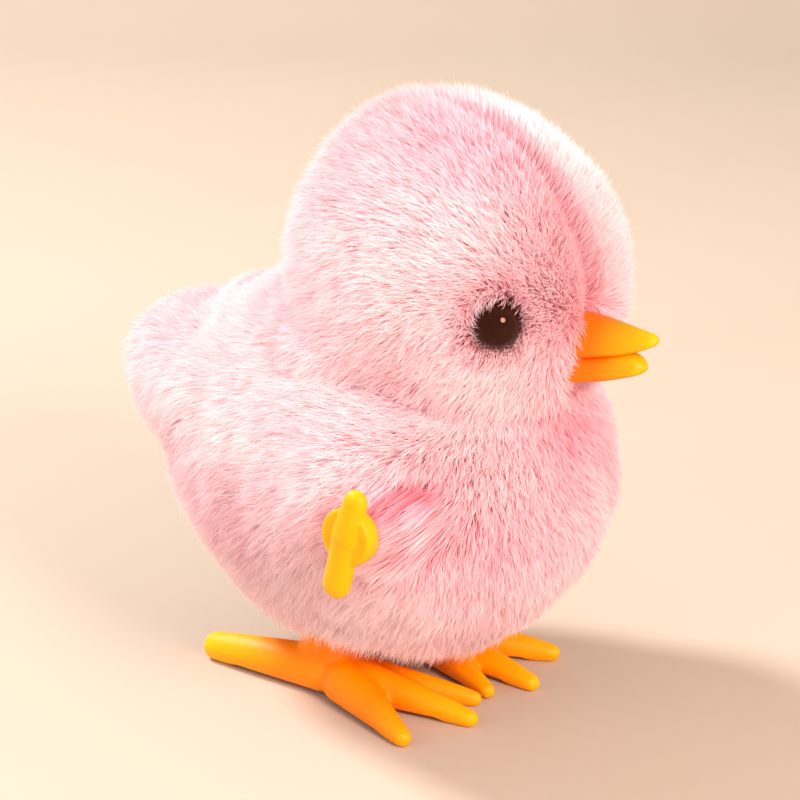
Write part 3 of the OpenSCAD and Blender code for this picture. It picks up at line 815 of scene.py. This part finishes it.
p[outer, 0] += (GATE_RING[0] * bell(r, GATE_RING[1]) - GATE_PIT[0] * bell(r, GATE_PIT[1]))[outer]
put_points(key, p)
new_object("winding_key_knob", key, MAT["key"], "winding", "winding_key")

# ---------------------------------------------------------------- feet
TOES = (((-10.2, 27.0, 1.8), 2.05, (-9.2, 8.0, 2.9), 3.45),
        ((-17.1, -10.5, 1.05), 1.3, (-10.4, 4.0, 2.6), 3.35),
        ((-7.1, -14.0, 1.05), 1.25, (-9.0, 4.0, 2.8), 3.25),
        ((-1.5, -10.7, 0.95), 1.12, (-7.8, 4.2, 2.6), 3.1))
ANKLE = (((-8.7, 5.0, 3.4), 2.65, (-8.9, 7.4, 12.4), 2.0),
         ((-8.7, 10.4, 3.2), 2.65, (-8.9, 9.6, 12.4), 2.0),
         ((-8.7, 7.7, 3.2), 2.65, (-8.9, 8.5, 12.4), 2.0))
ARCH, ARCH_BLEND = 0.7, 0.35         # rise of the sole between the pads, and how softly it meets the foot
RIDGE, RIDGE_WIDTH = 0.16, 0.7


def foot_mesh(side):
    """Toes, ankle and hub melted together; TOES and ANKLE give the right foot."""
    bm = bmesh.new()
    for a, ra, b, rb in TOES + ANKLE:
        capsule(bm, (a[0] * -side, a[1], a[2]), ra, (b[0] * -side, b[1], b[2]), rb)
    rod_mesh(bm, (-10.4 * -side, 8.5, 15), (-7.1 * -side, 8.5, 15), 3.2, n=64, bevel=0.35)
    me = modified("foot", to_mesh(bm, "foot"), [
        ("REMESH", {"mode": "VOXEL", "voxel_size": 0.00030, "adaptivity": 0.0}),
        ("SMOOTH", {"factor": 0.5, "iterations": 18})])
    p = points_of(me)
    # flat pads under the tips of the toes, a shallow arch between them
    tips = np.array([(a[0] * -side, a[1] + (0.6 if a[1] < 0 else -0.8)) for a, *_ in TOES])
    near = np.linalg.norm(p[:, None, :2] - tips[None], axis=-1).min(1)
    arch = ARCH * smooth(1.9, 4.6, near)
    z = p[:, 2]
    h = np.clip(0.5 + 0.5 * (z - arch) / ARCH_BLEND, 0, 1)
    p[:, 2] = np.maximum(arch * (1 - h) + z * h + ARCH_BLEND * h * (1 - h) * 0.5, arch)
    # soft ridge along the back of each toe
    for a, ra, b, rb in TOES:
        A, B = np.array([a[0] * -side, a[1]]), np.array([b[0] * -side, b[1]])
        t = np.clip(((p[:, :2] - A) @ (B - A)) / ((B - A) @ (B - A)), 0, 1)
        off = np.linalg.norm(p[:, :2] - (A + t[:, None] * (B - A)), axis=1)
        ridge = RIDGE * bell(off, RIDGE_WIDTH) * smooth(0, 0.15, t) * (1 - smooth(0.8, 1, t))
        p[:, 2] += np.where((p[:, 2] > 1.6) & (p[:, 2] < 8), ridge, 0)
    put_points(me, p)
    return me


for side, name in ((-1, "foot_right"), (1, "foot_left")):
    new_object(name + "_cast", foot_mesh(side), MAT["foot"], "feet", name)

# ---------------------------------------------------------------- finishes of the CAD pieces


def fibre_material():
    """Polyester filling: white, matted fibres."""
    m, t, b = material("fibre_fill", (0.9, 0.9, 0.88), 0.9)
    n = noise(t, 900, 8, 0.7)
    link(t, ramp(t, n, [(0.3, (0.8, 0.8, 0.78)), (0.7, (0.95, 0.95, 0.93))]), b.inputs["Base Color"])
    b.inputs["Sheen Weight"].default_value = 0.5
    bump(t, b, n, 0.8, 0.0006)
    return m


MAT["fibre"] = fibre_material()
FINISH = {
    "stuffing": "fibre", "eye_washers": "washer", "beak_washer": "washer",
    "base_plate": "base", "base_screws": "screw", "case_right": "case", "case_left": "case",
    "case_screws": "screw", "train_pins": "steel", "winding_arbor": "steel", "foot_axle": "steel",
    "mainspring": "spring", "ratchet_wheel": "ratchet", "click": "ratchet",
    "great_wheel": "gear", "second_wheel": "gear", "third_wheel": "gear",
    "crank_wheel": "crank", "rocker": "crank",
    "plush_right": "cloth", "plush_left": "cloth", "eye_right": "eye", "eye_left": "eye",
    "beak": "beak", "winding_key": "key", "foot_right": "foot", "foot_left": "foot",
}
for node, kind in FINISH.items():
    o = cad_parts[node]
    for s in o.material_slots:
        s.material = MAT[kind]

# ---------------------------------------------------------------- floor, light, camera
bm = bmesh.new()
right_v = np.array([0.6018, -0.7986, 0])      # to the right and away, as the camera sees them
away_v = np.array([0.7986, 0.6018, 0])
SWEEP_AT, SWEEP_R, FLOOR_NEAR, WALL_TOP, FLOOR_HALF = 0.45, 0.25, -0.6, 1.2, 1.6      # metres
sweep = [(SWEEP_AT + SWEEP_R * math.sin(a), SWEEP_R - SWEEP_R * math.cos(a))
         for a in np.radians(np.linspace(0, 90, 16))]
rows = []
for t, h in [(FLOOR_NEAR, 0)] + sweep + [(SWEEP_AT + SWEEP_R, WALL_TOP)]:
    rows.append([bm.verts.new(tuple(right_v * s + away_v * t + np.array([0, 0, h])))
                 for s in (-FLOOR_HALF, FLOOR_HALF)])
for a, b in zip(rows, rows[1:]):
    bm.faces.new((a[0], a[1], b[1], b[0]))
fm, ft, fb = material("studio_floor", (0.5, 0.41, 0.33), 0.8)
mottle = ramp(ft, noise(ft, 6, 3), [(0.3, (0.49, 0.4, 0.32)), (0.7, (0.51, 0.42, 0.34))])
link(ft, mottle, fb.inputs["Base Color"])
me = to_mesh(bm, "floor")
me.materials.append(fm)
me.polygons.foreach_set("use_smooth", np.ones(len(me.polygons), bool))
floor = bpy.data.objects.new("floor", me)
scene.collection.objects.link(floor)

TARGET = Vector((0, 0, 0.042))


def light(name, toward, dist, size, watts, color=(1, 1, 1)):
    """An area light seen from the object along (right, away, up)."""
    v = right_v * toward[0] + away_v * toward[1] + np.array([0, 0, toward[2]])
    d = bpy.data.lights.new(name, "AREA")
    d.shape = "DISK"
    d.size = size
    d.energy = watts
    d.color = color
    o = bpy.data.objects.new(name, d)
    o.location = TARGET + Vector(unit(v)) * dist
    o.rotation_euler = (TARGET - o.location).to_track_quat("-Z", "Y").to_euler()
    scene.collection.objects.link(o)
    return o


light("key_light", (-0.60, 0.34, 0.76), 0.7, 0.16, 6.2, (1.0, 0.985, 0.97))
light("fill_light", (0.487, -0.756, 0.45), 0.6, 0.2, 4.4, (1.0, 0.82, 0.72))
side_light = light("side_light", (-0.9, -0.5, 0.35), 0.7, 0.5, 0.9, (1.0, 0.93, 0.92))
side_light.visible_glossy = False
world = bpy.data.worlds.new("studio")
world.use_nodes = True
world.node_tree.nodes["Background"].inputs["Color"].default_value = (1.0, 0.93, 0.88, 1)
world.node_tree.nodes["Background"].inputs["Strength"].default_value = 0.85
scene.world = world
scene.view_settings.view_transform = "Standard"

cam = bpy.data.cameras.new("camera")
cam.lens = 119.7
cam.sensor_width = 36
cam.shift_x, cam.shift_y = -0.0215, -0.014
cam.clip_start, cam.clip_end = 0.01, 20
cam_object = bpy.data.objects.new("camera", cam)
view_v = Vector((-0.7595, -0.5724, 0.3090))
cam_object.location = TARGET + view_v * 0.35
cam_object.rotation_euler = (-view_v).to_track_quat("-Z", "Y").to_euler()
scene.collection.objects.link(cam_object)
scene.camera = cam_object
